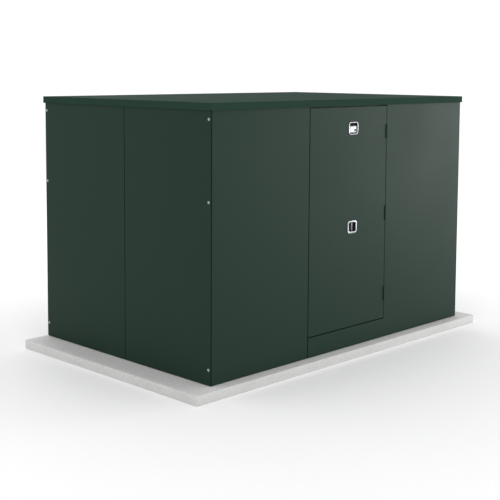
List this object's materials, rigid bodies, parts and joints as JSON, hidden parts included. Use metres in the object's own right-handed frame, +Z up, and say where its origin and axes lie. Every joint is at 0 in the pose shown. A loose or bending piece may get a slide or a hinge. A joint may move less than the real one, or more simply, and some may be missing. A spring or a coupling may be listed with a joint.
{
  "type": "home standby generator",
  "caption": "Liquid-cooled home standby generator in a flat-sided sheet-metal cabinet with a latched service door, on a moulded pad.",
  "frame": {"origin": "middle of the mounting pad's underside", "axes": "+Z up, +X along the cabinet towards the air outlet end, service door faces -Y"},
  "size_m": [1.796, 1.099, 1.084],
  "materials": {
    "pad": "moulded, fine speckle",
    "green_paint": "semi-gloss powder coat",
    "frame_steel": "satin black",
    "zinc_steel": "bright zinc",
    "stainless": "polished",
    "rubber": "matte",
    "foam": "acoustic foam",
    "cast_grey": "painted casting",
    "aluminium": "as cast",
    "copper_red": "moulded",
    "black_plastic": "moulded",
    "grey_box": "semi-gloss",
    "exhaust_steel": "heat-tinted",
    "brass": "machined",
    "yellow_pipe": "gloss"
  },
  "bodies": {
    "cabinet": {"mounting_pad": "pad", "anchor_bolts": "zinc_steel", "base_frame": "frame_steel", "floor_tray": "zinc_steel", "post_frame": "frame_steel", "bulkhead": "zinc_steel", "end_panel_front": "green_paint", "end_panel_rear": "green_paint", "outlet_panel": "green_paint", "front_panel": "green_paint", "door_side_panel": "green_paint", "rear_panel_left": "green_paint", "rear_panel_right": "green_paint", "roof": "green_paint", "roof_liner": "foam", "panel_screws": "zinc_steel", "door_seal": "rubber", "hinge_leaf_fixed": "green_paint", "hinge_pins": "zinc_steel", "engine_block": "cast_grey", "oil_pan": "cast_grey", "cylinder_head": "aluminium", "valve_cover": "aluminium", "flywheel_housing": "cast_grey", "starter_motor": "black_plastic", "oil_filter": "copper_red", "alternator_stator": "cast_grey", "water_pump": "aluminium", "fan_belt": "rubber", "engine_mounts": "rubber", "engine_cradle": "frame_steel", "exhaust_manifold": "cast_grey", "muffler": "exhaust_steel", "air_intake": "black_plastic", "radiator": "frame_steel", "fan_shroud": "frame_steel", "coolant_hoses": "rubber", "battery_tray": "frame_steel", "battery": "black_plastic", "fuel_pipe": "yellow_pipe", "gas_regulator": "aluminium", "control_box": "grey_box", "main_breaker": "black_plastic"},
    "door": {"service_door": "green_paint", "door_liner": "foam", "hinge_leaf_door": "green_paint", "latch_dishes": "stainless"},
    "upper_paddle": {"upper_paddle": "stainless"},
    "upper_key": {"upper_key": "stainless"},
    "upper_bolt": {"upper_bolt": "zinc_steel"},
    "lower_turn_handle": {"lower_turn_handle": "stainless"},
    "lower_bolt": {"lower_bolt": "zinc_steel"},
    "crankshaft": {"crankshaft": "frame_steel", "alternator_rotor": "frame_steel"},
    "fan": {"cooling_fan": "black_plastic"},
    "radiator_cap": {"radiator_cap": "brass"},
    "stop_button": {"stop_button": "copper_red"},
    "mode_switch": {"mode_switch": "black_plastic"},
    "breaker_toggle": {"breaker_toggle": "black_plastic"},
    "fuel_cock": {"fuel_cock": "brass"}
  },
  "joints": [
    {"name": "door_swing", "type": "hinge", "parent": "cabinet", "child": "door", "pos_m": [0.251, -0.5005, 0.125], "axis": [0, 0, 1], "range_deg": [0, 110]},
    {"name": "upper_paddle_pull", "type": "hinge", "parent": "door", "child": "upper_paddle", "pos_m": [0.024, -0.4975, 0.9465], "axis": [1, 0, 0], "range_deg": [0, 40], "stiffness_Nm_per_rad": 0.4},
    {"name": "upper_key_turn", "type": "hinge", "parent": "upper_paddle", "child": "upper_key", "pos_m": [0.038, -0.4995, 0.955], "axis": [0, -1, 0], "range_deg": [0, 90]},
    {"name": "upper_bolt_slide", "type": "slide", "parent": "door", "child": "upper_bolt", "axis": [1, 0, 0], "range_m": [0, 0.0119]},
    {"name": "lower_handle_turn", "type": "hinge", "parent": "door", "child": "lower_turn_handle", "pos_m": [0.024, -0.4995, 0.549], "axis": [0, -1, 0], "range_deg": [0, 90]},
    {"name": "lower_bolt_slide", "type": "slide", "parent": "door", "child": "lower_bolt", "axis": [1, 0, 0], "range_m": [0, 0.0119]},
    {"name": "crank_spin", "type": "hinge", "parent": "cabinet", "child": "crankshaft", "pos_m": [0, 0.0195, 0.43], "axis": [1, 0, 0], "continuous": true},
    {"name": "fan_spin", "type": "hinge", "parent": "cabinet", "child": "fan", "pos_m": [0.4, 0.0195, 0.63], "axis": [1, 0, 0], "continuous": true},
    {"name": "radiator_cap_lift", "type": "slide", "parent": "cabinet", "child": "radiator_cap", "axis": [0, 0, 1], "range_m": [0, 0.05]},
    {"name": "stop_button_press", "type": "slide", "parent": "cabinet", "child": "stop_button", "axis": [0, 1, 0], "range_m": [0, 0.006], "stiffness_N_per_m": 300},
    {"name": "mode_switch_turn", "type": "hinge", "parent": "cabinet", "child": "mode_switch", "pos_m": [-0.116, -0.4385, 0.862], "axis": [0, -1, 0], "range_deg": [-45, 45]},
    {"name": "breaker_throw", "type": "hinge", "parent": "cabinet", "child": "breaker_toggle", "pos_m": [-0.051, -0.4305, 0.872], "axis": [1, 0, 0], "range_deg": [-30, 30]},
    {"name": "fuel_cock_turn", "type": "hinge", "parent": "cabinet", "child": "fuel_cock", "pos_m": [0.14, 0.4495, 0.21], "axis": [0, 0, 1], "range_deg": [0, 90]}
  ],
  "couplings": [
    {"joint": "upper_paddle_pull", "follows": "upper_bolt_slide", "rad_per_m": 58.6},
    {"joint": "lower_handle_turn", "follows": "lower_bolt_slide", "rad_per_m": 131.9},
    {"joint": "fan_spin", "follows": "crank_spin", "ratio": 1}
  ]
}
